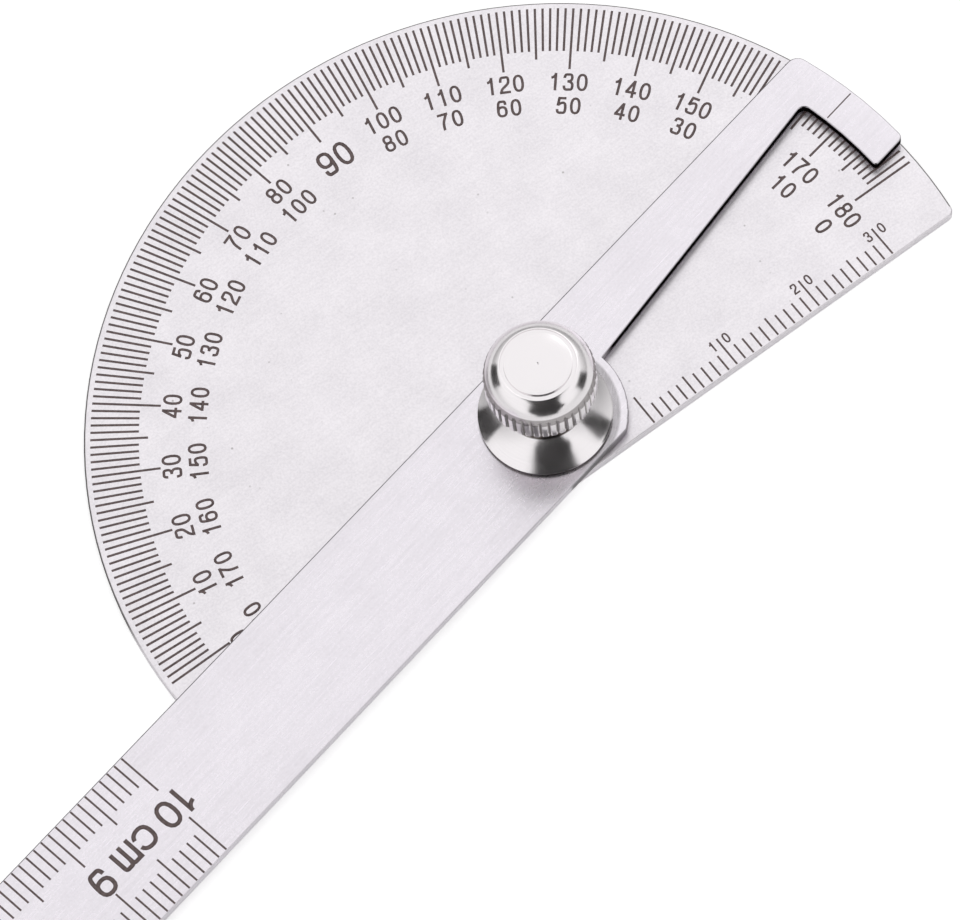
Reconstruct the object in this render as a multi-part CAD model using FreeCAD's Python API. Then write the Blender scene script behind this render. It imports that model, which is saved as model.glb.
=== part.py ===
import FreeCAD, Part
import math
import os
from FreeCAD import Vector

# Angle finder: a half-round protractor plate, a ruler arm that swings over it, and a knurled knob
# that clamps the arm. Millimetres. The origin is on the pivot axis in the flat back of the plate,
# +X runs along the base edge towards the 180 line, +Y towards the 90 line, +Z out of the dial.

# Protractor plate: stamped stainless sheet
plate_radius = 45.0
plate_below_pivot = 7.0
plate_thickness = 1.0
plate_corner_radius = 0.8
plate_front_round = 0.2
plate_back_round = 0.1

# Etched lines, filled with dark enamel that stays a little below the metal
degree_line_width = 0.24
rule_line_width = 0.2
index_line_width = 0.13
groove_depth = 0.08
fill_recess = 0.02

# Degree scale on the plate: its lines start just inside the rim
degree_rim_gap = 0.65
degree_line_length = 4.75
five_degree_length = 5.65
ten_degree_length = 6.75
scale_span = 180.0

# Millimetre rule along the base edge. Its last long line, the 30, stands 9 mm after the 20, as on
# the real plate, so it has 29 divisions.
rule_division = 1.0
base_rule_divisions = 29
base_rule_to_rim = 8.0
base_line_gap = 0.25
base_line_length = 1.85
base_five_length = 2.2
base_ten_length = 3.35

# Ruler arm: stamped stainless strip with a pointer head, a round boss at the pivot and an open
# reading window between the two
arm_width = 14.0
arm_thickness = 1.0
arm_front_round = 0.15
arm_back_round = 0.1
arm_end_corner_radius = 1.0
boss_stand_out = 1.0
head_overhang = 0.2
head_depth = 4.1
head_lead_corner_radius = 1.3
head_tail_corner_radius = 0.7
head_tip_corner_radius = 0.4
window_inner_corner_radius = 0.8
window_edge_at_boss = -0.2
window_edge_at_head = 2.85
index_line_inset = 0.3
arm_reading = 168.5

# Centimetre rule on the arm, zero at its far end
arm_rule_length = 100.0
arm_rule_to_pivot = 52.3
arm_line_gap = 0.15
arm_line_length = 3.25
arm_five_length = 4.25
arm_ten_length = 4.85

# Pivot screw, put in from the back: flat head let into the plate, square neck that can't turn in
# it, shoulder that the arm swings on, and a stud for the knob. Each step passes where the one
# before it does.
head_radius = 4.5
head_thickness = 0.5
head_clearance = 0.05
neck_step = 0.1
neck_clearance = 0.05
shoulder_step = 0.5
shoulder_below_arm_face = 0.1
stud_radius = 2.0
stud_tip_chamfer = 0.4
running_clearance = 0.05

# Friction washer between plate and arm, hidden under the arm's boss
friction_washer_inset = 1.2
friction_washer_thickness = 0.3
washer_bore_clearance = 0.1

# Clamp washer, carried in the knob's underside
clamp_washer_radius = 4.8
clamp_washer_thickness = 0.5
clamp_washer_clearance = 0.1

# Clamp knob, turned in one piece and knurled
skirt_gap = 0.1
skirt_radius = 6.55
skirt_rim_height = 0.45
neck_radius = 3.7
flare_height = 2.75
flare_dip = 0.17
knob_neck_height = 3.6
knurl_radius = 5.4
knurl_height = 2.8
knurl_count = 40
knurl_depth = 0.2
knurl_bottom_chamfer = 0.2
crown_height = 2.35
crown_bulge = 0.35
crown_ring_radius = 3.75
ring_land = 0.12
ring_ledge_depth = 0.1
disc_radius = 3.25
disc_rise = 0.3
disc_edge_round = 0.06
centre_mark_radius = 0.12
centre_mark_depth = 0.08
knob_roof = 1.95
stud_end_gap = 1.0
hole_mouth_chamfer = 0.2

# How far a cutting shape runs past what it cuts
cut_margin = 1.0

# Rules that follow from these
base_rule_length = base_rule_divisions * rule_division
base_rule_start = plate_radius - base_rule_to_rim - base_rule_length
arm_rule_divisions = round(arm_rule_length / rule_division)

# Radii that follow from these
degree_outer = plate_radius - degree_rim_gap
arm_half_width = arm_width / 2
boss_radius = arm_half_width + boss_stand_out
head_outer_radius = plate_radius + head_overhang
head_inner_radius = head_outer_radius - head_depth
shoulder_radius = stud_radius + shoulder_step
neck_side = 2 * (shoulder_radius + neck_step)
friction_washer_radius = boss_radius - friction_washer_inset
knob_hole_radius = stud_radius + running_clearance

# Levels that follow from these, from the back of the plate upwards
plate_groove_floor = plate_thickness - groove_depth
arm_bottom = plate_thickness + friction_washer_thickness
arm_top = arm_bottom + arm_thickness
arm_groove_floor = arm_top - groove_depth
shoulder_top = arm_top - shoulder_below_arm_face
clamp_washer_top = arm_top + clamp_washer_thickness
skirt_bottom = arm_top + skirt_gap
rim_top = skirt_bottom + skirt_rim_height
flare_top = rim_top + flare_height
band_bottom = flare_top + knob_neck_height
band_top = band_bottom + knurl_height
ring_top = band_top + crown_height
ring_ledge = ring_top - ring_ledge_depth
disc_top = ring_ledge + disc_rise
knob_hole_top = disc_top - knob_roof
stud_top = knob_hole_top - stud_end_gap

# The arm at rest: its direction from +X, and how far its square end is from the pivot
arm_direction = scale_span - arm_reading
arm_end = arm_rule_to_pivot + arm_rule_length


def on_circle(radius, height):
    """The point of a circle about the pivot, right of it, at this height above the X axis."""
    return Vector(math.sqrt(radius * radius - height * height), height, 0)


def arc(start, end, radius):
    """The short arc about the pivot from start to end."""
    first = math.atan2(start.y, start.x)
    last = math.atan2(end.y, end.x)
    middle = (first + last) / 2
    through = Vector(radius * math.cos(middle), radius * math.sin(middle), 0)
    return Part.Arc(start, through, end).toShape()


def line(start, end):
    return Part.LineSegment(start, end).toShape()


def sheet(edges, bottom, thickness):
    """A flat blank with this outline."""
    face = Part.Face(Part.Wire(edges))
    face.translate(Vector(0, 0, bottom))
    return face.extrude(Vector(0, 0, thickness))


def round_corner(blank, corner, radius):
    """Rounds the upright edge that stands at this corner of the outline."""
    edges = []
    for edge in blank.Edges:
        ends = edge.Vertexes
        beside = all(math.hypot(v.X - corner.x, v.Y - corner.y) < 0.001 for v in ends)
        if beside and len(ends) == 2:
            edges.append(edge)
    return blank.makeFillet(radius, edges)


def round_rim(blank, level, radius):
    """Rounds all the edges that lie at this level."""
    edges = [e for e in blank.Edges if all(abs(v.Z - level) < 0.001 for v in e.Vertexes)]
    return blank.makeFillet(radius, edges)


def cylinder(radius, bottom, top):
    return Part.makeCylinder(radius, top - bottom, Vector(0, 0, bottom))


def ring(outer, inner, bottom, top):
    body = cylinder(outer, bottom, top)
    return body.cut(cylinder(inner, bottom - cut_margin, top + cut_margin))


def square_bar(side, bottom, top):
    return Part.makeBox(side, side, top - bottom, Vector(-side / 2, -side / 2, bottom))


def turned_by(shape, degrees):
    """The shape turned about the pivot axis."""
    placed = shape.copy()
    placed.rotate(Vector(0, 0, 0), Vector(0, 0, 1), degrees)
    return placed


def line_length(number, single, five, ten):
    """How long a graduation is: each tenth, each fifth, or any other."""
    if number % 10 == 0:
        return ten
    if number % 5 == 0:
        return five
    return single


def degree_lines(bottom, top):
    """One bar for each degree, 0 at -X, clockwise to 180 at +X."""
    bars = []
    for reading in range(round(scale_span) + 1):
        length = line_length(reading, degree_line_length, five_degree_length, ten_degree_length)
        corner = Vector(degree_outer - length, -degree_line_width / 2, bottom)
        bar = Part.makeBox(length, degree_line_width, top - bottom, corner)
        bars.append(turned_by(bar, scale_span - reading))
    return bars


def base_rule_lines(bottom, top):
    """Upright bars along the base edge; the last one is long, like each tenth."""
    bars = []
    foot = base_line_gap - plate_below_pivot
    for number in range(base_rule_divisions + 1):
        length = line_length(number, base_line_length, base_five_length, base_ten_length)
        if number == base_rule_divisions:
            length = base_ten_length
        middle = base_rule_start + number * rule_division
        corner = Vector(middle - rule_line_width / 2, foot, bottom)
        bars.append(Part.makeBox(rule_line_width, length, top - bottom, corner))
    return bars


def arm_rule_lines(bottom, top):
    """A bar at each millimetre of both long edges, in the arm's own frame. The zero is the end."""
    bars = []
    edge = arm_half_width - arm_line_gap
    for number in range(1, arm_rule_divisions + 1):
        length = line_length(number, arm_line_length, arm_five_length, arm_ten_length)
        left = number * rule_division - arm_end - rule_line_width / 2
        for low in (-edge, edge - length):
            bars.append(Part.makeBox(rule_line_width, length, top - bottom, Vector(left, low, bottom)))
    return bars


def index_line(bottom, top):
    """The line across the pointer head that is read against the degree scale."""
    start = head_inner_radius + index_line_inset
    length = head_outer_radius - index_line_inset - start
    corner = Vector(start, -index_line_width / 2, bottom)
    return [Part.makeBox(length, index_line_width, top - bottom, corner)]


def protractor_plate():
    left = Vector(-on_circle(plate_radius, -plate_below_pivot).x, -plate_below_pivot, 0)
    right = on_circle(plate_radius, -plate_below_pivot)
    rim = Part.Arc(right, Vector(0, plate_radius, 0), left).toShape()
    plate = sheet([line(left, right), rim], 0, plate_thickness)
    for corner in (left, right):
        plate = round_corner(plate, corner, plate_corner_radius)
    plate = round_rim(plate, plate_thickness, plate_front_round)
    plate = round_rim(plate, 0, plate_back_round)
    head_seat = cylinder(head_radius + head_clearance, -cut_margin, head_thickness)
    neck_hole = square_bar(neck_side + 2 * neck_clearance, -cut_margin, plate_thickness + cut_margin)
    top = plate_thickness + cut_margin
    grooves = degree_lines(plate_groove_floor, top) + base_rule_lines(plate_groove_floor, top)
    return plate.cut([head_seat, neck_hole] + grooves)


def ruler_arm():
    half = arm_half_width
    far_top = Vector(-arm_end, half, 0)
    far_low = Vector(-arm_end, -half, 0)
    lead = on_circle(head_outer_radius, half)
    tail = on_circle(head_outer_radius, -half)
    tip = on_circle(head_inner_radius, -half)
    window_head = on_circle(head_inner_radius, window_edge_at_head)
    window_boss = on_circle(boss_radius, window_edge_at_boss)
    boss_low = on_circle(boss_radius, -half)
    outline = [
        line(far_low, far_top),
        line(far_top, lead),
        arc(lead, tail, head_outer_radius),
        line(tail, tip),
        arc(tip, window_head, head_inner_radius),
        line(window_head, window_boss),
        arc(window_boss, boss_low, boss_radius),
        line(boss_low, far_low),
    ]
    arm = sheet(outline, arm_bottom, arm_thickness)
    arm = round_corner(arm, far_top, arm_end_corner_radius)
    arm = round_corner(arm, far_low, arm_end_corner_radius)
    arm = round_corner(arm, lead, head_lead_corner_radius)
    arm = round_corner(arm, tail, head_tail_corner_radius)
    arm = round_corner(arm, tip, head_tip_corner_radius)
    arm = round_corner(arm, window_head, window_inner_corner_radius)
    arm = round_rim(arm, arm_top, arm_front_round)
    arm = round_rim(arm, arm_bottom, arm_back_round)
    bore = cylinder(shoulder_radius + running_clearance, 0, arm_top + cut_margin)
    top = arm_top + cut_margin
    grooves = arm_rule_lines(arm_groove_floor, top) + index_line(arm_groove_floor, top)
    return turned_by(arm.cut([bore] + grooves), arm_direction)


def pivot_screw():
    head = cylinder(head_radius, 0, head_thickness)
    neck = square_bar(neck_side, head_thickness, plate_thickness)
    shoulder = cylinder(shoulder_radius, plate_thickness, shoulder_top)
    straight_top = stud_top - stud_tip_chamfer
    stud = cylinder(stud_radius, shoulder_top, straight_top)
    tip = Part.makeCone(
        stud_radius, stud_radius - stud_tip_chamfer, stud_tip_chamfer, Vector(0, 0, straight_top)
    )
    return head.fuse([neck, shoulder, stud, tip]).removeSplitter()


def friction_washer():
    bore = shoulder_radius + washer_bore_clearance
    return ring(friction_washer_radius, bore, plate_thickness, arm_bottom)


def clamp_washer():
    bore = stud_radius + washer_bore_clearance
    return ring(clamp_washer_radius, bore, arm_top, clamp_washer_top)


def point(radius, level):
    return Vector(radius, 0, level)


def bulged(start, end, bulge):
    """The point that stands this far out from the middle of the chord, on its right."""
    chord = end - start
    out = Vector(chord.z, 0, -chord.x).normalize()
    return (start + end) / 2 + out * bulge


def knob_blank():
    """The turned outside of the knob: skirt, flare, neck, knurled band, crown and raised disc."""
    ring_inner = crown_ring_radius - ring_land
    below_flare = [
        point(crown_ring_radius, ring_top),
        point(ring_inner, ring_top),
        point(ring_inner, ring_ledge),
        point(disc_radius, ring_ledge),
        point(disc_radius, disc_top - disc_edge_round),
        point(disc_radius - disc_edge_round, disc_top),
        point(0, disc_top),
        point(0, skirt_bottom),
        point(skirt_radius, skirt_bottom),
        point(skirt_radius, rim_top),
    ]
    above_flare = [
        point(neck_radius, flare_top),
        point(neck_radius, band_bottom),
        point(knurl_radius - knurl_bottom_chamfer, band_bottom),
        point(knurl_radius, band_bottom + knurl_bottom_chamfer),
        point(knurl_radius, band_top),
    ]
    profile = [line(a, b) for a, b in zip(below_flare, below_flare[1:])]
    flare_middle = bulged(below_flare[-1], above_flare[0], -flare_dip)
    profile.append(Part.Arc(below_flare[-1], flare_middle, above_flare[0]).toShape())
    profile += [line(a, b) for a, b in zip(above_flare, above_flare[1:])]
    crown_middle = bulged(above_flare[-1], below_flare[0], crown_bulge)
    profile.append(Part.Arc(above_flare[-1], crown_middle, below_flare[0]).toShape())
    return Part.Face(Part.Wire(profile)).revolve(Vector(0, 0, 0), Vector(0, 0, 1), 360)


def knurl_grooves():
    """Upright V grooves with a right-angled floor, evenly spaced round the band."""
    side = 2 * knurl_depth
    height = ring_top - band_bottom + cut_margin / 2
    corner = Vector(-side / 2, -side / 2, band_bottom - cut_margin / 2)
    groove = Part.makeBox(side, side, height, corner)
    groove.rotate(Vector(0, 0, 0), Vector(0, 0, 1), 45)
    groove.translate(Vector(knurl_radius - knurl_depth + side / math.sqrt(2), 0, 0))
    return [turned_by(groove, number * 360 / knurl_count) for number in range(knurl_count)]


def clamp_knob():
    recess = cylinder(clamp_washer_radius + clamp_washer_clearance, 0, clamp_washer_top)
    hole = cylinder(knob_hole_radius, 0, knob_hole_top)
    mouth_radius = knob_hole_radius + hole_mouth_chamfer
    mouth_at = Vector(0, 0, clamp_washer_top)
    mouth = Part.makeCone(mouth_radius, knob_hole_radius, hole_mouth_chamfer, mouth_at)
    mark_at = Vector(0, 0, disc_top - centre_mark_depth)
    mark = Part.makeCone(0, centre_mark_radius, centre_mark_depth, mark_at)
    return knob_blank().cut([recess, hole, mouth, mark] + knurl_grooves())


def main():
    os.makedirs("parts", exist_ok=True)
    plate_fill_top = plate_thickness - fill_recess
    arm_fill_top = arm_top - fill_recess
    degree_bars = degree_lines(plate_groove_floor, plate_fill_top)
    base_bars = base_rule_lines(plate_groove_floor, plate_fill_top)
    arm_bars = arm_rule_lines(arm_groove_floor, arm_fill_top)
    index_bars = index_line(arm_groove_floor, arm_fill_top)
    parts = {
        "protractor_plate": protractor_plate(),
        "degree_line_fill": Part.makeCompound(degree_bars),
        "base_rule_fill": Part.makeCompound(base_bars),
        "ruler_arm": ruler_arm(),
        "arm_rule_fill": turned_by(Part.makeCompound(arm_bars), arm_direction),
        "index_line_fill": turned_by(Part.makeCompound(index_bars), arm_direction),
        "pivot_screw": pivot_screw(),
        "friction_washer": friction_washer(),
        "clamp_washer": clamp_washer(),
        "clamp_knob": clamp_knob(),
    }
    for name, shape in parts.items():
        shape.exportStep(f"parts/{name}.step")
        print(name, len(shape.Solids), "solids", round(shape.Volume, 3), "mm3, valid", shape.isValid())


main()
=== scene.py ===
import math

import bpy
from mathutils import Matrix, Vector


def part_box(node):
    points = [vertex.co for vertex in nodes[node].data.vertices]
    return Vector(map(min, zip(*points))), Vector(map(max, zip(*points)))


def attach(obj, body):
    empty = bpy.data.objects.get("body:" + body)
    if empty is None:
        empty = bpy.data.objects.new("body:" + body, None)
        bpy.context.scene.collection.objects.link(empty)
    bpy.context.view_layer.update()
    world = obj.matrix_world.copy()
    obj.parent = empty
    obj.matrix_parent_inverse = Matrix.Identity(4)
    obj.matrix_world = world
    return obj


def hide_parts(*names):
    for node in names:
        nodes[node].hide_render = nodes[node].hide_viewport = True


# Angle finder: a half-round protractor plate, a ruler arm that swings over it, and a knurled knob
# that clamps the arm. Metres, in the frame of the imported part: the origin is on the pivot axis in
# the back of the plate, +X towards the 180 line, +Y towards the 90 line, +Z out of the dial.
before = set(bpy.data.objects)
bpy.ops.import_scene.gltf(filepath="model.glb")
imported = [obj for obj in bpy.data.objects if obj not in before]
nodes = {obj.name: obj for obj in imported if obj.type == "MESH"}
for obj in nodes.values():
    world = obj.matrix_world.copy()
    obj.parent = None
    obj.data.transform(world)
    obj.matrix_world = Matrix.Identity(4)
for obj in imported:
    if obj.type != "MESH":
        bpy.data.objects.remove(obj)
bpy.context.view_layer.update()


# Protractor plate. The real plate is stamped from 1 mm stainless sheet, with its edges broken
# round. The face is left as rolled and washed: pale, with a fine mottled grain and tiny specks.
MM = 0.001


def add_node(tree, kind, **values):
    """A shader node with these inputs; a Socket value is linked."""
    made = tree.nodes.new(kind)
    for name, value in values.items():
        socket = made.inputs[name.replace("_", " ")]
        if isinstance(value, bpy.types.NodeSocket):
            tree.links.new(value, socket)
        else:
            socket.default_value = value
    return made


def calculate(tree, operation, first, second=0.0):
    """A Math node on two values or sockets."""
    made = tree.nodes.new("ShaderNodeMath")
    made.operation = operation
    for socket, value in zip(made.inputs, (first, second)):
        if isinstance(value, bpy.types.NodeSocket):
            tree.links.new(value, socket)
        else:
            socket.default_value = value
    return made.outputs[0]


def rescale(tree, value, low, high, new_low=0.0, new_high=1.0):
    """A Map Range node that ends at its limits."""
    ends = {"From_Min": low, "From_Max": high, "To_Min": new_low, "To_Max": new_high}
    return add_node(tree, "ShaderNodeMapRange", Value=value, **ends).outputs["Result"]


def stretched(tree, place, scale, turn=0.0):
    """The place, turned about Z and then scaled, in cells per metre."""
    turned = add_node(tree, "ShaderNodeMapping", Vector=place)
    turned.inputs["Rotation"].default_value = (0, 0, turn)
    sized = add_node(tree, "ShaderNodeMapping", Vector=turned.outputs[0])
    sized.inputs["Scale"].default_value = scale
    return sized.outputs[0]


def noise(tree, place, scale, detail, roughness=0.5):
    """Noise about 0.5, with this many cells per metre."""
    made = add_node(
        tree, "ShaderNodeTexNoise", Vector=place, Scale=scale, Detail=detail, Roughness=roughness
    )
    return made.outputs["Fac"]


# The sheet's scratches are long along X and narrow across it. All are in cells per metre.
FINE_SCRATCH_CELLS, BROAD_SCRATCH_CELLS = (500, 9000, 500), (50, 2600, 50)
MOTTLE_CELLS, CLOUD_CELLS = 4200.0, 260.0
SPECK_CELLS, SPECK_PATCH_CELLS = 900.0, 330.0


def grain_group():
    """Rolled or brushed sheet: a tone about 0.5, specks, and a height."""
    group = bpy.data.node_groups.new("sheet_grain", "ShaderNodeTree")
    face = group.interface
    face.new_socket("Vector", in_out="INPUT", socket_type="NodeSocketVector")
    for name, value in (("Scratches", 0.5), ("Mottle", 0.5), ("Specks", 0.5)):
        face.new_socket(name, in_out="INPUT", socket_type="NodeSocketFloat").default_value = value
    for name in ("Tone", "Speck", "Height"):
        face.new_socket(name, in_out="OUTPUT", socket_type="NodeSocketFloat")
    start = group.nodes.new("NodeGroupInput")
    end = group.nodes.new("NodeGroupOutput")
    place = start.outputs["Vector"]
    fine = noise(group, stretched(group, place, FINE_SCRATCH_CELLS), 1.0, 3.0, 0.6)
    broad = noise(group, stretched(group, place, BROAD_SCRATCH_CELLS), 1.0, 3.0, 0.6)
    mottle = noise(group, place, MOTTLE_CELLS, 4.0, 0.7)
    cloud = noise(group, place, CLOUD_CELLS, 3.0)
    cloud = calculate(group, "ADD", calculate(group, "MULTIPLY", cloud, 0.4), 0.3)
    scratch = calculate(group, "ADD", fine, broad)
    scratch = calculate(group, "SUBTRACT", scratch, 1.0)
    scratch = calculate(group, "MULTIPLY", scratch, start.outputs["Scratches"])
    mottled = calculate(group, "ADD", mottle, cloud)
    mottled = calculate(group, "SUBTRACT", mottled, 1.0)
    mottled = calculate(group, "MULTIPLY", mottled, start.outputs["Mottle"])
    height = calculate(group, "ADD", scratch, mottled)
    tone = calculate(group, "ADD", height, 0.5)
    dots = add_node(group, "ShaderNodeTexVoronoi", Vector=place, Scale=SPECK_CELLS, Randomness=1.0)
    dot = rescale(group, dots.outputs["Distance"], 0.06, 0.14, 1.0, 0.0)
    sparse = rescale(group, noise(group, place, SPECK_PATCH_CELLS, 2.0), 0.6, 0.66)
    speck = calculate(group, "MULTIPLY", dot, sparse)
    speck = calculate(group, "MULTIPLY", speck, start.outputs["Specks"])
    group.links.new(tone, end.inputs["Tone"])
    group.links.new(speck, end.inputs["Speck"])
    group.links.new(height, end.inputs["Height"])
    return group


sheet_grain = grain_group()


def new_material(name):
    """A material, its node tree, its shader and the place in the part's own frame."""
    material = bpy.data.materials.new(name)
    material.use_nodes = True
    tree = material.node_tree
    place = tree.nodes.new("ShaderNodeTexCoord").outputs["Object"]
    return material, tree, tree.nodes["Principled BSDF"], place


def mixed(tree, share, first, second):
    """A colour between two, by this share."""
    made = tree.nodes.new("ShaderNodeMix")
    made.data_type = "RGBA"
    tree.links.new(share, made.inputs["Factor"])
    for socket, value in zip((made.inputs[6], made.inputs[7]), (first, second)):
        if isinstance(value, bpy.types.NodeSocket):
            tree.links.new(value, socket)
        else:
            socket.default_value = (*value, 1)
    return made.outputs[2]


def bump(tree, height, distance, shader):
    """Raises the surface by this distance where the height is 1."""
    made = add_node(tree, "ShaderNodeBump", Height=height, Distance=distance, Strength=1.0)
    tree.links.new(made.outputs["Normal"], shader.inputs["Normal"])


def within(tree, value, low, high, soft):
    """1 where the value is between low and high, with soft ends."""
    above = rescale(tree, value, low - soft, low + soft)
    below = rescale(tree, value, high - soft, high + soft, 1.0, 0.0)
    return calculate(tree, "MULTIPLY", above, below)


def axis_distance(tree, place):
    """How far a place is from the pivot axis."""
    parts = add_node(tree, "ShaderNodeSeparateXYZ", Vector=place)
    squares = [calculate(tree, "POWER", parts.outputs[axis], 2.0) for axis in ("X", "Y")]
    return calculate(tree, "SQRT", calculate(tree, "ADD", *squares))


def punched_walls(tree, turned, along, across, from_axis, edge_shade, low_side_shade, high_side_shade):
    """How much painted shade each punched wall and each broken edge gets: a dark colour that stands in
    for the shadow gaps and dark reflections along them.

    The walls lie within the ranges along the grain, across it and from the pivot axis. The edges there
    get the edge share of painted shade. Elsewhere they get the low or the high share, by their side of
    the axis.
    """
    normal = tree.nodes.new("ShaderNodeTexCoord").outputs["Normal"]
    rise = add_node(tree, "ShaderNodeSeparateXYZ", Vector=normal).outputs["Z"]
    upright = rescale(tree, calculate(tree, "ABSOLUTE", rise), 0.35, 0.8, 1.0, 0.0)
    parts = add_node(tree, "ShaderNodeSeparateXYZ", Vector=turned)
    in_length = within(tree, parts.outputs["X"], *along, 0.2 * MM)
    in_width = within(tree, parts.outputs["Y"], *across, 0.1 * MM)
    area = calculate(tree, "MULTIPLY", in_length, in_width)
    side = rescale(tree, parts.outputs["Y"], -0.1 * MM, 0.1 * MM, low_side_shade, high_side_shade)
    edge = rescale(tree, area, 0.0, 1.0, side, edge_shade)
    broken_edge_shade = calculate(tree, "MULTIPLY", within(tree, rise, 0.1, 0.98, 0.02), edge)
    start, end = from_axis
    reach = axis_distance(tree, turned)
    before_end = rescale(tree, reach, end, end + 0.1 * MM, 1.0, 0.0)
    past_start = rescale(tree, reach, start, start + 1.2 * MM, 0.6, 1.0)
    area = calculate(tree, "MULTIPLY", calculate(tree, "MULTIPLY", area, before_end), past_start)
    return calculate(tree, "MAXIMUM", calculate(tree, "MULTIPLY", upright, area), broken_edge_shade)


def rub_mark(tree, turned, radius, heading):
    """A painted shadow of the turning knob: a grey crescent out to this radius on the side it heads to.
    """
    side = tree.nodes.new("ShaderNodeVectorMath")
    side.operation = "DOT_PRODUCT"
    side.inputs[1].default_value = (math.cos(heading), math.sin(heading), 0.0)
    tree.links.new(turned, side.inputs[0])
    on_side = rescale(tree, side.outputs["Value"], 0.2 * radius, 0.8 * radius)
    streaks = noise(tree, stretched(tree, turned, (900, 4000, 900), heading), 1.0, 3.0, 0.6)
    ring = rescale(tree, axis_distance(tree, turned), radius, radius + 0.25 * MM, 1.0, 0.0)
    mark = calculate(tree, "MULTIPLY", ring, on_side)
    return calculate(tree, "MULTIPLY", mark, rescale(tree, streaks, 0.3, 0.6, 0.7, 1.0))


# Painted shade on reflections: what the shade-painted walls and edges keep of the reflections that
# graze them
WALL_REFLECTION_SHADE = (0.3, 0.29, 0.29)


def sheet_steel(
    name,
    dark,
    light,
    speck_and_shadow_colour,
    grain_turn,
    scratches,
    mottle,
    specks,
    depth,
    roughness,
    wall_shade_colour,
    shaded_walls,
    knob_shadow=None,
):
    """Satin stainless sheet; the grain runs at grain_turn from +X. Its punched walls and broken edges
    get painted shade, and, if given, a painted shadow of the knob.
    """
    material, tree, shader, place = new_material(name)
    turned = stretched(tree, place, (1, 1, 1), -grain_turn)
    grain = tree.nodes.new("ShaderNodeGroup")
    grain.node_tree = sheet_grain
    tree.links.new(turned, grain.inputs["Vector"])
    for socket, value in (("Scratches", scratches), ("Mottle", mottle), ("Specks", specks)):
        grain.inputs[socket].default_value = value
    metal = mixed(tree, rescale(tree, grain.outputs["Tone"], 0.3, 0.7), dark, light)
    metal = mixed(tree, grain.outputs["Speck"], metal, speck_and_shadow_colour)
    # Painted shadow of the knob, in the colour of the specks
    if knob_shadow:
        metal = mixed(tree, rub_mark(tree, turned, **knob_shadow), metal, speck_and_shadow_colour)
    # Painted shade on the walls and broken edges: a darker colour, and dimmed grazing reflections
    wall_shade = punched_walls(tree, turned, **shaded_walls)
    tree.links.new(mixed(tree, wall_shade, metal, wall_shade_colour), shader.inputs["Base Color"])
    tree.links.new(mixed(tree, wall_shade, (1.0, 1.0, 1.0), WALL_REFLECTION_SHADE), shader.inputs["Specular Tint"])
    rough = rescale(tree, grain.outputs["Tone"], 0.2, 0.8, *roughness)
    tree.links.new(rough, shader.inputs["Roughness"])
    shader.inputs["Metallic"].default_value = 1.0
    bump(tree, grain.outputs["Height"], depth, shader)
    return material


WELD_DISTANCE = 0.0005 * MM
SHARP_EDGE = math.radians(30)


def dress(name, material):
    """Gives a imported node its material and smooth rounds, with its flat faces kept flat."""
    piece = nodes[name]
    piece.data.materials.clear()
    piece.data.materials.append(material)
    for face in piece.data.polygons:
        face.use_smooth = True
    weld = piece.modifiers.new("weld", "WELD")
    weld.merge_threshold = WELD_DISTANCE
    split = piece.modifiers.new("split", "EDGE_SPLIT")
    split.split_angle = SHARP_EDGE
    return piece


plate_steel = sheet_steel(
    "plate_steel",
    dark=(0.745, 0.715, 0.75),
    light=(0.95, 0.915, 0.95),
    speck_and_shadow_colour=(0.40, 0.38, 0.38),
    grain_turn=0.0,
    scratches=0.12,
    mottle=0.65,
    specks=0.8,
    depth=0.003 * MM,
    roughness=(0.4, 0.3),
    # Painted shade: the colour and the places of the darkened walls and broken edges
    wall_shade_colour=(0.2, 0.19, 0.19),
    shaded_walls={
        "along": (-44.5 * MM, 50 * MM),
        "across": (-6.2 * MM, 50 * MM),
        "from_axis": (-2 * MM, 50 * MM),
        "edge_shade": 0.95,
        "low_side_shade": 0.15,
        "high_side_shade": 0.15,
    },
)
dress("protractor_plate", plate_steel)


# Etched lines of the plate. The degree scale and the edge rule are etched 0.08 mm deep in the
# steel and filled with dark brownish enamel, wiped off level, so it is a little thin in places.
def line_enamel(name, dark, light):
    """Dull enamel, lighter where it is thin."""
    material, tree, shader, place = new_material(name)
    wear = noise(tree, place, 2600.0, 3.0, 0.6)
    thin = rescale(tree, wear, 0.35, 0.7)
    tree.links.new(mixed(tree, thin, dark, light), shader.inputs["Base Color"])
    tree.links.new(rescale(tree, wear, 0.3, 0.7, 0.42, 0.6), shader.inputs["Roughness"])
    bump(tree, wear, 0.01 * MM, shader)
    return material


enamel = line_enamel("line_enamel", dark=(0.07, 0.046, 0.045), light=(0.14, 0.10, 0.098))
dress("degree_line_fill", enamel)
dress("base_rule_fill", enamel)


# Degree numerals. Plain sans-serif figures etched and filled like the lines: two rows, read from
# either side, with their tops towards the rim, and one large 90 that both rows share.
BAR, CURVE, LOOP = "bar", "curve", "loop"
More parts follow.
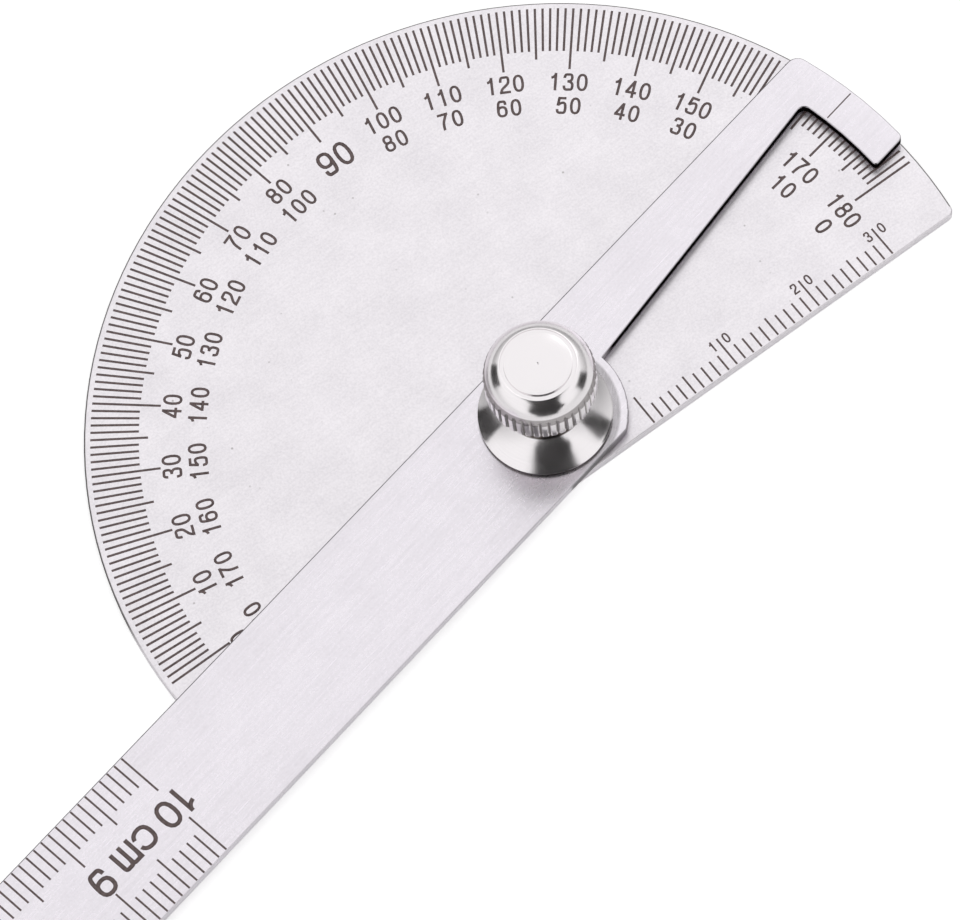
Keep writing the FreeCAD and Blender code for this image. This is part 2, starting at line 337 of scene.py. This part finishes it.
# Each figure's strokes: a form, and its points across and up, from 0 to 1 of the figure's size
figure_strokes = {
    "0": [(LOOP, [(0, 0), (1, 0), (1, 1), (0, 1)])],
    "1": [
        (BAR, [(0.62, 0), (0.62, 1)]),
        (CURVE, [(0.6, 0.98), (0.5, 0.8), (0.1, 0.76)]),
    ],
    "2": [
        (
            CURVE,
            [
                (0.02, 0.68), (0.02, 1), (0.5, 1), (0.98, 1),
                (0.98, 0.6), (0.6, 0.42), (0.05, 0.2), (0.02, 0),
            ],
        ),
        (BAR, [(0, 0), (1, 0)]),
    ],
    "3": [
        (CURVE, [(0.04, 0.76), (0.06, 1), (0.5, 1), (0.94, 1), (0.94, 0.54), (0.38, 0.54)]),
        (CURVE, [(0.38, 0.54), (1, 0.54), (1, 0), (0.5, 0), (0.02, 0), (0, 0.26)]),
    ],
    "4": [
        (BAR, [(0.74, 0), (0.74, 1)]),
        (CURVE, [(0.7, 1), (0, 0.3)]),
        (BAR, [(0, 0.27), (1, 0.27)]),
    ],
    "5": [
        (BAR, [(0.22, 1), (0.9, 1)]),
        (CURVE, [(0.2, 1), (0.06, 0.48)]),
        (CURVE, [(0.06, 0.5), (0.3, 0.66), (1, 0.72), (1, 0), (0.5, 0), (0.02, 0), (0, 0.24)]),
    ],
    "6": [
        (LOOP, [(0, 0), (1, 0), (1, 0.62), (0, 0.62)]),
        (CURVE, [(0, 0.31), (0, 1), (0.55, 1), (0.92, 1), (0.94, 0.76)]),
    ],
    "7": [
        (BAR, [(0, 1), (1, 1)]),
        (CURVE, [(1, 1), (0.55, 0.62), (0.34, 0.3), (0.32, -0.08)]),
    ],
    "8": [
        (LOOP, [(0.06, 0.54), (0.94, 0.54), (0.94, 1), (0.06, 1)]),
        (LOOP, [(0, 0), (1, 0), (1, 0.54), (0, 0.54)]),
    ],
    "9": [
        (LOOP, [(0, 0.38), (1, 0.38), (1, 1), (0, 1)]),
        (CURVE, [(1, 0.69), (1, 0), (0.45, 0), (0.08, 0), (0.06, 0.24)]),
    ],
    "c": [(CURVE, [(1, 0.7), (0.92, 1), (0, 1), (0, 0), (0.92, 0), (1, 0.3)])],
    "m": [
        (BAR, [(0, 0), (0, 1)]),
        (CURVE, [(0, 0.6), (0.02, 1), (0.25, 1), (0.5, 1), (0.5, 0.66), (0.5, -0.1)]),
        (CURVE, [(0.5, 0.6), (0.52, 1), (0.75, 1), (1, 1), (1, 0.66), (1, -0.1)]),
    ],
}
ETCHED_DEPTH = 0.03 * MM
ETCHED_RISE = 0.004 * MM
# Crossing strokes lie one above the other, so that no two faces share a level
STROKE_LIFT = 0.001 * MM
figure_meshes = {}


def stroke_section(stroke):
    """The closed section of a stroke, as a curve object: this wide and the etching's depth high."""
    section = bpy.data.curves.new("section", "CURVE")
    edge = section.splines.new("POLY")
    edge.points.add(3)
    corners = ((-1, 1), (1, 1), (1, -1), (-1, -1))
    for point, (across, up) in zip(edge.points, corners):
        point.co = (across * stroke / 2, up * ETCHED_DEPTH / 2, 0, 1)
    edge.use_cyclic_u = True
    piece = bpy.data.objects.new("section", section)
    bpy.context.collection.objects.link(piece)
    return piece


def figure_mesh(figure, height, width, stroke):
    """One figure about its middle, its top towards +Y: strokes of this width, then a mesh."""
    key = (figure, height, width, stroke)
    if key in figure_meshes:
        return figure_meshes[key]
    bpy.ops.object.select_all(action="DESELECT")
    section_piece = stroke_section(stroke)
    curve = bpy.data.curves.new("figure", "CURVE")
    curve.dimensions = "3D"
    curve.twist_mode = "Z_UP"
    curve.bevel_mode = "OBJECT"
    curve.bevel_object = section_piece
    curve.use_fill_caps = True
    curve.resolution_u = 4
    for order, (form, places) in enumerate(figure_strokes[figure]):
        spline = curve.splines.new("POLY" if form == BAR else "NURBS")
        spline.points.add(len(places) - 1)
        spread = (width - stroke, height - stroke)
        places = [Vector(((u - 0.5) * spread[0], (v - 0.5) * spread[1])) for u, v in places]
        if form == BAR:
            reach = (places[1] - places[0]).normalized() * stroke / 2
            places = [places[0] - reach, places[1] + reach]
        for point, place in zip(spline.points, places):
            point.co = (*place, order * STROKE_LIFT, 1)
        if form == CURVE:
            spline.order_u = min(3, len(places))
            spline.use_endpoint_u = True
        if form == LOOP:
            spline.order_u = 3
            spline.use_cyclic_u = True
    piece = bpy.data.objects.new("figure", curve)
    bpy.context.collection.objects.link(piece)
    bpy.context.view_layer.objects.active = piece
    piece.select_set(True)
    bpy.ops.object.convert(target="MESH")
    mesh = bpy.context.object.data
    figure_meshes[key] = mesh
    bpy.data.objects.remove(bpy.context.object)
    bpy.data.objects.remove(section_piece)
    return mesh


def set_figure(figure, style, middle, up, level):
    """A copy of a figure at this middle, in metres, with its top towards up."""
    piece = bpy.data.objects.new("figure", figure_mesh(figure, *style).copy())
    bpy.context.collection.objects.link(piece)
    right = Vector((up.y, -up.x))
    turn = Matrix(((right.x, up.x, 0), (right.y, up.y, 0), (0, 0, 1))).to_4x4()
    at = Vector((*middle, level + ETCHED_RISE - ETCHED_DEPTH / 2))
    piece.data.transform(Matrix.Translation(at) @ turn)
    return piece


def set_label(label, style, advance, middle, up, level):
    """A row of figures about this middle."""
    right = Vector((up.y, -up.x))
    half = (len(label) - 1) / 2
    return [
        set_figure(figure, style, middle + right * advance * (place - half), up, level)
        for place, figure in enumerate(label)
    ]


def one_piece(parts, name, material, body):
    """Joins the parts to a named piece that rides on a body."""
    bpy.ops.object.select_all(action="DESELECT")
    for part in parts:
        part.select_set(True)
    bpy.context.view_layer.objects.active = parts[0]
    bpy.ops.object.join()
    piece = bpy.context.object
    piece.name = name
    piece.data.name = name
    piece.data.materials.clear()
    piece.data.materials.append(material)
    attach(piece, body)
    return piece


plate_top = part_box("protractor_plate")[1].z
# Each row: its figures' (height, width, stroke), their advance, the radius of their middles, and
# how far the row is turned off its lines, in degrees, as printed
outer_row = ((1.93 * MM, 1.1 * MM, 0.27 * MM), 1.38 * MM, 36.32 * MM, -0.22)
inner_row = ((1.87 * MM, 1.07 * MM, 0.27 * MM), 1.38 * MM, 33.72 * MM, -0.5)
shared_row = ((2.75 * MM, 1.6 * MM, 0.37 * MM), 1.95 * MM, 35.25 * MM, -0.5)
# The whole print lies a little towards -X, and the two labels of the 0 line are turned further
print_shift = Vector((-0.22 * MM, 0))
zero_turn = 0.36
HALF_TURN = 180
LABEL_STEP = 10


def degree_label(reading, number, style, advance, radius, turn):
    """The figures of a number at this reading of the dial, with their tops towards the rim."""
    angle = math.radians(HALF_TURN - reading + turn + (zero_turn if reading == 0 else 0))
    up = Vector((math.cos(angle), math.sin(angle)))
    return set_label(str(number), style, advance, up * radius + print_shift, up, plate_top)


degree_parts = []
for reading in range(0, HALF_TURN + 1, LABEL_STEP):
    if reading == HALF_TURN // 2:
        degree_parts += degree_label(reading, reading, *shared_row)
    else:
        degree_parts += degree_label(reading, reading, *outer_row)
        degree_parts += degree_label(reading, HALF_TURN - reading, *inner_row)
degree_numerals = one_piece(degree_parts, "degree_numerals", enamel, "plate")


# Edge rule numerals. Small figures in the same enamel, one on each side of the rule's long lines.
# The 30 stands at the rule's last line.
rule_style = (1.15 * MM, 0.66 * MM, 0.18 * MM)
rule_middle = -3.875 * MM
rule_split = 0.82 * MM
# Where each label's line lies along X; the rule is one division short of 30, as on the real tool
rule_lines = {"10": 18.0 * MM, "20": 28.0 * MM, "30": 37.0 * MM}
rule_parts = []
for label, line_x in rule_lines.items():
    for figure, side in zip(label, (-1, 1)):
        middle = Vector((line_x + side * rule_split, rule_middle))
        rule_parts.append(set_figure(figure, rule_style, middle, Vector((0, 1)), plate_top))
base_rule_numerals = one_piece(rule_parts, "base_rule_numerals", enamel, "plate")


# Ruler arm. A strip of the same sheet, brushed along its length, with broken edges. It swings on
# the pivot screw and carries the pointer head, the reading window and the centimetre rule.
arm_angle = math.radians(11.5)
arm_steel = sheet_steel(
    "arm_steel",
    dark=(0.745, 0.71, 0.755),
    light=(0.93, 0.89, 0.945),
    speck_and_shadow_colour=(0.44, 0.42, 0.44),
    grain_turn=arm_angle,
    scratches=0.26,
    mottle=0.4,
    specks=0.2,
    depth=0.002 * MM,
    roughness=(0.32, 0.24),
    # Painted shade: the colour and the places of the darkened walls and broken edges
    wall_shade_colour=(0.03, 0.028, 0.028),
    shaded_walls={
        "along": (-4 * MM, 50 * MM),
        "across": (-8.5 * MM, 6.8 * MM),
        "from_axis": (8.4 * MM, 44.9 * MM),
        "edge_shade": 0.35,
        "low_side_shade": 0.2,
        "high_side_shade": 0.8,
    },
    # Painted shadow of the knob on the boss, beside the knob on the side it heads to
    knob_shadow={"radius": 7.1 * MM, "heading": math.radians(-36)},
)
dress("ruler_arm", arm_steel)
dress("arm_rule_fill", enamel)
dress("index_line_fill", enamel)


# Arm numerals. Larger figures etched between the two edges of the rule, 1 to 10 with the unit
# beside the 10, their tops towards the edge rule of the plate.
arm_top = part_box("ruler_arm")[1].z
along = Vector((math.cos(arm_angle), math.sin(arm_angle)))
left = Vector((-along.y, along.x))
arm_style = (3.0 * MM, 2.0 * MM, 0.43 * MM)
unit_c_style = (2.55 * MM, 2.2 * MM, 0.43 * MM)
unit_m_style = (2.5 * MM, 2.42 * MM, 0.43 * MM)
arm_middle = -0.35 * MM
unit_middle = -0.22 * MM
rule_zero = -152.3 * MM
centimetre = 10 * MM
# Each figure, its place along the arm from the pivot, its place across it, and its style
arm_figures = [
    ("1", -51.35 * MM, arm_middle, arm_style),
    ("0", -53.4 * MM, arm_middle, arm_style),
    ("c", -56.5 * MM, unit_middle, unit_c_style),
    ("m", -58.95 * MM, unit_middle, unit_m_style),
]
for number in range(1, 10):
    arm_figures.append((str(number), rule_zero + number * centimetre, arm_middle, arm_style))
arm_parts = [
    set_figure(figure, style, along * place + left * across, -left, arm_top)
    for figure, place, across, style in arm_figures
]
arm_numerals = one_piece(arm_parts, "arm_numerals", enamel, "arm")


# Pivot screw and washers. A turned steel screw, ground flush in the back of the plate, with a thin
# nylon washer between plate and arm and a plain steel washer under the knob.
def turned_metal(name, colour, roughness, ring_width, depth):
    """Turned metal: fine rings about the pivot axis."""
    material, tree, shader, place = new_material(name)
    level = add_node(tree, "ShaderNodeSeparateXYZ", Vector=place).outputs["Z"]
    rings = add_node(tree, "ShaderNodeCombineXYZ", X=axis_distance(tree, place), Z=level)
    tone = noise(tree, rings.outputs[0], 1 / ring_width, 2.0, 0.6)
    shade = tuple(channel * 0.9 for channel in colour)
    tree.links.new(mixed(tree, tone, shade, colour), shader.inputs["Base Color"])
    tree.links.new(
        rescale(tree, tone, 0.3, 0.7, roughness * 0.8, roughness * 1.3), shader.inputs["Roughness"]
    )
    shader.inputs["Metallic"].default_value = 1.0
    bump(tree, tone, depth, shader)
    return material


screw_steel = turned_metal("screw_steel", (0.72, 0.72, 0.74), 0.3, 0.06 * MM, 0.004 * MM)
dress("pivot_screw", screw_steel)
washer_steel = turned_metal("washer_steel", (0.66, 0.66, 0.68), 0.35, 0.08 * MM, 0.004 * MM)
dress("clamp_washer", washer_steel)


def washer_plastic(name, dark, light):
    """Natural nylon, a little cloudy."""
    material, tree, shader, place = new_material(name)
    cloud = noise(tree, place, 700.0, 3.0)
    tree.links.new(mixed(tree, cloud, dark, light), shader.inputs["Base Color"])
    tree.links.new(rescale(tree, cloud, 0.3, 0.7, 0.4, 0.55), shader.inputs["Roughness"])
    bump(tree, cloud, 0.006 * MM, shader)
    return material


washer_nylon = washer_plastic("washer_nylon", dark=(0.70, 0.69, 0.64), light=(0.80, 0.79, 0.74))
dress("friction_washer", washer_nylon)


# Clamp knob. Turned from bar in one piece, with a flared skirt, a straight knurled band and a
# raised disc on its crown, then bright chromed. It screws down on the stud over the clamp washer.
skirt_radius = 6.55 * MM
rim_height = 0.45 * MM
neck_radius = 3.7 * MM
flare_height = 2.75 * MM
flare_dip = 0.17 * MM
neck_height = 3.6 * MM
knurl_radius = 5.4 * MM
knurl_height = 2.8 * MM
knurl_depth = 0.2 * MM
knurl_count = 40
crown_height = 2.35 * MM
crown_bulge = 0.35 * MM
ring_radius = 3.75 * MM
ring_land = 0.12 * MM
disc_radius = 3.25 * MM
ledge_depth = 0.1 * MM
disc_rise = 0.3 * MM
mark_radius = 0.12 * MM
mark_depth = 0.08 * MM
washer_recess_radius = 4.9 * MM
hole_radius = 2.05 * MM
mouth_chamfer = 0.2 * MM
hole_roof = 1.95 * MM
edge_ease = 0.06 * MM
foot_chamfer = 0.14 * MM

skirt_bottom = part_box("clamp_knob")[0].z
recess_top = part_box("clamp_washer")[1].z
rim_top = skirt_bottom + rim_height
flare_top = rim_top + flare_height
band_bottom = flare_top + neck_height
band_top = band_bottom + knurl_height
crown_top = band_top + crown_height
ledge = crown_top - ledge_depth
disc_top = ledge + disc_rise
hole_top = disc_top - hole_roof


def arc_between(start, end, centre, steps):
    """Points on the short arc from start to end, both left out; all are (radius, level)."""
    first = math.atan2(start[1] - centre[1], start[0] - centre[0])
    last = math.atan2(end[1] - centre[1], end[0] - centre[0])
    turn = (last - first + math.pi) % (2 * math.pi) - math.pi
    size = math.hypot(start[0] - centre[0], start[1] - centre[1])
    angles = [first + turn * step / steps for step in range(1, steps)]
    return [(centre[0] + size * math.cos(a), centre[1] + size * math.sin(a)) for a in angles]


def bulge_centre(start, end, bulge):
    """The centre of the arc that stands this far out from the chord, or in if negative."""
    chord = Vector(end) - Vector(start)
    half = chord.length / 2
    size = (half * half + bulge * bulge) / (2 * bulge)
    inward = Vector((-chord.y, chord.x)).normalized()
    return tuple((Vector(start) + Vector(end)) / 2 + inward * (size - bulge))


# The profile's slighter turns are left as they are
CORNER_TURN = math.radians(20)


def eased(profile, ease):
    """The profile with each of its corners rounded."""
    points = [profile[0]]
    for before, corner, after in zip(profile, profile[1:], profile[2:]):
        corner = Vector(corner)
        back, on = Vector(before) - corner, Vector(after) - corner
        if back.angle(-on) < CORNER_TURN:
            points.append(tuple(corner))
            continue
        start = corner + back.normalized() * min(ease, back.length * 0.4)
        end = corner + on.normalized() * min(ease, on.length * 0.4)
        middle = (start + end) / 4 + corner / 2
        points += [tuple(start), tuple(middle), tuple(end)]
    return points + [profile[-1]]


rim_edge, neck_foot = (skirt_radius, rim_top), (neck_radius, flare_top)
flare_centre = bulge_centre(rim_edge, neck_foot, -flare_dip)
crown_start, crown_end = (knurl_radius, band_top), (ring_radius, crown_top)
crown_centre = bulge_centre(crown_start, crown_end, crown_bulge)
corners = [
    (mark_radius / 2, hole_top),
    (hole_radius, hole_top),
    (hole_radius, recess_top + mouth_chamfer),
    (hole_radius + mouth_chamfer, recess_top),
    (washer_recess_radius, recess_top),
    (washer_recess_radius, skirt_bottom),
    (skirt_radius - foot_chamfer, skirt_bottom),
    (skirt_radius, skirt_bottom + foot_chamfer),
    rim_edge,
    *arc_between(rim_edge, neck_foot, flare_centre, steps=20),
    neck_foot,
    (neck_radius, band_bottom),
    (knurl_radius - knurl_depth, band_bottom),
    (knurl_radius, band_bottom + knurl_depth),
    crown_start,
    *arc_between(crown_start, crown_end, crown_centre, steps=12),
    crown_end,
    (ring_radius - ring_land, crown_top),
    (ring_radius - ring_land, ledge),
    (disc_radius, ledge),
    (disc_radius, disc_top),
    (mark_radius, disc_top),
    (mark_radius / 4, disc_top - mark_depth),
]
profile = eased(corners, edge_ease)
# Points round the knob for each groove of the knurl: one in the groove and three on the ridge
STEPS_PER_GROOVE = 4
segments = STEPS_PER_GROOVE * knurl_count
bpy.ops.object.select_all(action="DESELECT")
bpy.ops.mesh.primitive_circle_add(
    vertices=segments, radius=profile[0][0], location=(0, 0, profile[0][1]), fill_type="NGON"
)
clamp_knob = bpy.context.object
bpy.ops.object.transform_apply(location=True, rotation=True, scale=True)
bpy.ops.object.mode_set(mode="EDIT")
bpy.ops.mesh.select_mode(type="EDGE")
bpy.ops.mesh.select_all(action="SELECT")
radius_now, level_now = profile[0]
for radius, level in profile[1:]:
    bpy.ops.mesh.extrude_edges_move(TRANSFORM_OT_translate={"value": (0, 0, level - level_now)})
    grown = radius / radius_now
    bpy.ops.transform.resize(value=(grown, grown, 1), center_override=(0, 0, level))
    radius_now, level_now = radius, level
bpy.ops.mesh.edge_face_add()
bpy.ops.mesh.select_all(action="SELECT")
bpy.ops.mesh.normals_make_consistent(inside=False)
bpy.ops.object.mode_set(mode="OBJECT")

groove_floor = knurl_radius - knurl_depth
step_angle = 2 * math.pi / segments
for vertex in clamp_knob.data.vertices:
    place = vertex.co
    reach = math.hypot(place.x, place.y)
    number = round(math.atan2(place.y, place.x) / step_angle)
    if number % STEPS_PER_GROOVE == 0 and place.z > band_bottom - edge_ease and reach > groove_floor:
        place.x *= groove_floor / reach
        place.y *= groove_floor / reach
clamp_knob.name = "clamp_knob_chromed"
clamp_knob.data.name = "clamp_knob_chromed"
bpy.ops.object.shade_smooth_by_angle(angle=math.radians(28))


# Painted shade round the skirt's rim, at the foot of the neck and over the knurl: from and to these
# levels, and how much of it. The knurl's grooves get their own share of painted shade.
painted_shade_rings = (
    (skirt_bottom, rim_top - 0.1 * MM, 1.0),
    (flare_top - 0.32 * MM, flare_top + 0.15 * MM, 1.0),
    (band_top - 0.1 * MM, band_top + 0.85 * MM, 0.58),
)
groove_shade_share = 0.7
ring_softness = 0.06 * MM


def chrome(name, colour, painted_shade_colour):
    """Bright chrome over turned steel: faint turning rings, light wear, and painted shade in the
    knurl's grooves and in rings at its corners.
    """
    material, tree, shader, place = new_material(name)
    level = add_node(tree, "ShaderNodeSeparateXYZ", Vector=place).outputs["Z"]
    rings = add_node(tree, "ShaderNodeCombineXYZ", X=axis_distance(tree, place), Z=level)
    tone = noise(tree, rings.outputs[0], 9000.0, 3.0, 0.6)
    haze = noise(tree, place, 500.0, 3.0)
    shade = tuple(channel * 0.88 for channel in colour)
    metal = mixed(tree, tone, shade, colour)
    in_band = within(tree, level, band_bottom - 0.1 * MM, band_top + 0.5 * MM, 0.1 * MM)
    reach = axis_distance(tree, place)
    deep = within(tree, reach, groove_floor - 0.05 * MM, knurl_radius - 0.1 * MM, ring_softness)
    groove_shade = calculate(tree, "MULTIPLY", calculate(tree, "MULTIPLY", in_band, deep), groove_shade_share)
    painted_shade = groove_shade
    for low, high, share in painted_shade_rings:
        ring = calculate(tree, "MULTIPLY", within(tree, level, low, high, ring_softness), share)
        painted_shade = calculate(tree, "MAXIMUM", painted_shade, ring)
    # Painted shade: a darker colour, dimmed reflections and less metal in the grooves and rings
    metal = mixed(tree, painted_shade, metal, painted_shade_colour)
    tree.links.new(mixed(tree, painted_shade, (1.0, 1.0, 1.0), painted_shade_colour), shader.inputs["Specular Tint"])
    tree.links.new(metal, shader.inputs["Base Color"])
    tree.links.new(rescale(tree, haze, 0.35, 0.7, 0.15, 0.23), shader.inputs["Roughness"])
    tree.links.new(rescale(tree, groove_shade, 0.0, 1.0, 1.0, 0.2), shader.inputs["Metallic"])
    bump(tree, tone, 0.0015 * MM, shader)
    return material


# The last colour is the painted shade of the grooves and rings
knob_chrome = chrome("knob_chrome", colour=(0.95, 0.915, 0.93), painted_shade_colour=(0.1, 0.083, 0.078))
clamp_knob.data.materials.append(knob_chrome)
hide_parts("clamp_knob")
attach(clamp_knob, "knob")


# Studio. A white table under a white sky, one soft light from behind, and dark boards out of view,
# which the chrome mirrors as the dark room round the camera.
table_size = 6.0
table_gap = 0.02 * MM
bpy.ops.object.select_all(action="DESELECT")
bpy.ops.mesh.primitive_plane_add(size=table_size, location=(0, 0, -table_gap))
table = bpy.context.object
table.name = "table"


def table_white():
    """Dull white card that the camera sees as pure white."""
    material, tree, shader, place = new_material("table_white")
    shader.inputs["Base Color"].default_value = (0.8, 0.8, 0.8, 1)
    shader.inputs["Roughness"].default_value = 0.9
    shader.inputs["Specular IOR Level"].default_value = 0.0
    shader.inputs["Emission Color"].default_value = (1, 1, 1, 1)
    rays = tree.nodes.new("ShaderNodeLightPath")
    by_camera = calculate(tree, "MULTIPLY", rays.outputs["Is Camera Ray"], 0.45)
    by_metal = calculate(tree, "MULTIPLY", rays.outputs["Is Glossy Ray"], 0.05)
    tree.links.new(calculate(tree, "ADD", by_camera, by_metal), shader.inputs["Emission Strength"])
    return material


table.data.materials.append(table_white())

# The sky is brightest overhead and in front, and fades towards the horizon behind the tool
sky_lean = (-0.176, -0.243, 1.0)
world = bpy.data.worlds.new("studio")
bpy.context.scene.world = world
world.use_nodes = True
sky = world.node_tree
rays = sky.nodes.new("ShaderNodeLightPath")
direction = sky.nodes.new("ShaderNodeTexCoord").outputs["Generated"]
tilted = sky.nodes.new("ShaderNodeVectorMath")
tilted.operation = "DOT_PRODUCT"
tilted.inputs[1].default_value = sky_lean
sky.links.new(direction, tilted.inputs[0])
height = rescale(sky, tilted.outputs["Value"], -0.25, 0.45, 0.3, 1.0)
strength = calculate(sky, "MAXIMUM", height, rays.outputs["Is Camera Ray"])
sky.links.new(strength, sky.nodes["Background"].inputs["Strength"])
sky.nodes["Background"].inputs["Color"].default_value = (1, 1, 1, 1)


def make_board(board):
    """Dark card that only reflections see."""
    material, tree, shader, place = new_material(board.name)
    shader.inputs["Base Color"].default_value = (0.017, 0.015, 0.015, 1)
    shader.inputs["Roughness"].default_value = 0.8
    board.data.materials.append(material)
    board.visible_camera = False
    board.visible_shadow = False
    board.visible_diffuse = False


board_distance = 0.5
board_height = 0.29


def dark_board(name, azimuth, width):
    """An upright board on the table that faces the pivot from this azimuth, in degrees."""
    bpy.ops.object.select_all(action="DESELECT")
    angle = math.radians(azimuth)
    middle = (board_distance * math.cos(angle), board_distance * math.sin(angle), board_height / 2)
    turn = (math.pi / 2, 0, angle + math.pi / 2)
    bpy.ops.mesh.primitive_plane_add(size=1.0, location=middle, rotation=turn)
    board = bpy.context.object
    board.scale = (width, board_height, 1)
    board.name = name
    make_board(board)


dark_board("board_right", azimuth=-36, width=0.23)
dark_board("board_left", azimuth=133, width=0.28)

# The third board is a strip of a dome, from the table on the camera's side to nearly overhead.
# Its outline is (height, half width). Like the gap overhead, both are shares of the dome's radius.
dome_radius = 0.6
screen_azimuth = math.radians(-116)
screen_outline = ((0.06, 0.28), (0.26, 0.49), (0.3, 0.49), (0.65, 0.38))
overhead_gap = 0.08


def half_width(height):
    """Half the screen's width at this height, straight from point to point of its outline."""
    for (low, first), (high, second) in zip(screen_outline, screen_outline[1:]):
        if height <= high:
            return first + (second - first) * max(0, (height - low) / (high - low))
    return screen_outline[-1][1]


bpy.ops.object.select_all(action="DESELECT")
bpy.ops.mesh.primitive_uv_sphere_add(segments=128, ring_count=64, radius=dome_radius)
camera_screen = bpy.context.object
camera_screen.name = "board_camera"
bpy.ops.object.mode_set(mode="EDIT")
bpy.ops.mesh.select_mode(type="FACE")
bpy.ops.mesh.select_all(action="DESELECT")
bpy.ops.object.mode_set(mode="OBJECT")
ahead = Vector((math.cos(screen_azimuth), math.sin(screen_azimuth), 0))
beside = Vector((-ahead.y, ahead.x, 0))
for face in camera_screen.data.polygons:
    way = face.center.normalized()
    outside = abs(way.dot(beside)) > half_width(way.z)
    face.select = outside or way.z < 0 or way.dot(ahead) < overhead_gap
bpy.ops.object.mode_set(mode="EDIT")
bpy.ops.mesh.delete(type="FACE")
bpy.ops.object.mode_set(mode="OBJECT")
make_board(camera_screen)

bpy.ops.object.select_all(action="DESELECT")
bpy.ops.object.light_add(type="AREA", location=(0.7, 0.3, 0.6))
soft_box = bpy.context.object
soft_box.data.size = 0.6
soft_box.data.energy = 0.4
soft_box.rotation_euler = (-soft_box.location).to_track_quat("-Z", "Y").to_euler()


# Camera. A long lens, from above the plate's lower left, as in the photograph.
bpy.ops.object.camera_add(
    location=(-93.15 * MM, -172.46 * MM, 465.27 * MM),
    rotation=[math.radians(angle) for angle in (22.212, 4.0875, -36.220)],
)
camera = bpy.context.object
camera.data.sensor_width = 36
camera.data.lens = 195.75
camera.data.clip_start = 0.01
bpy.context.scene.camera = camera
bpy.context.scene.view_settings.view_transform = "Standard"
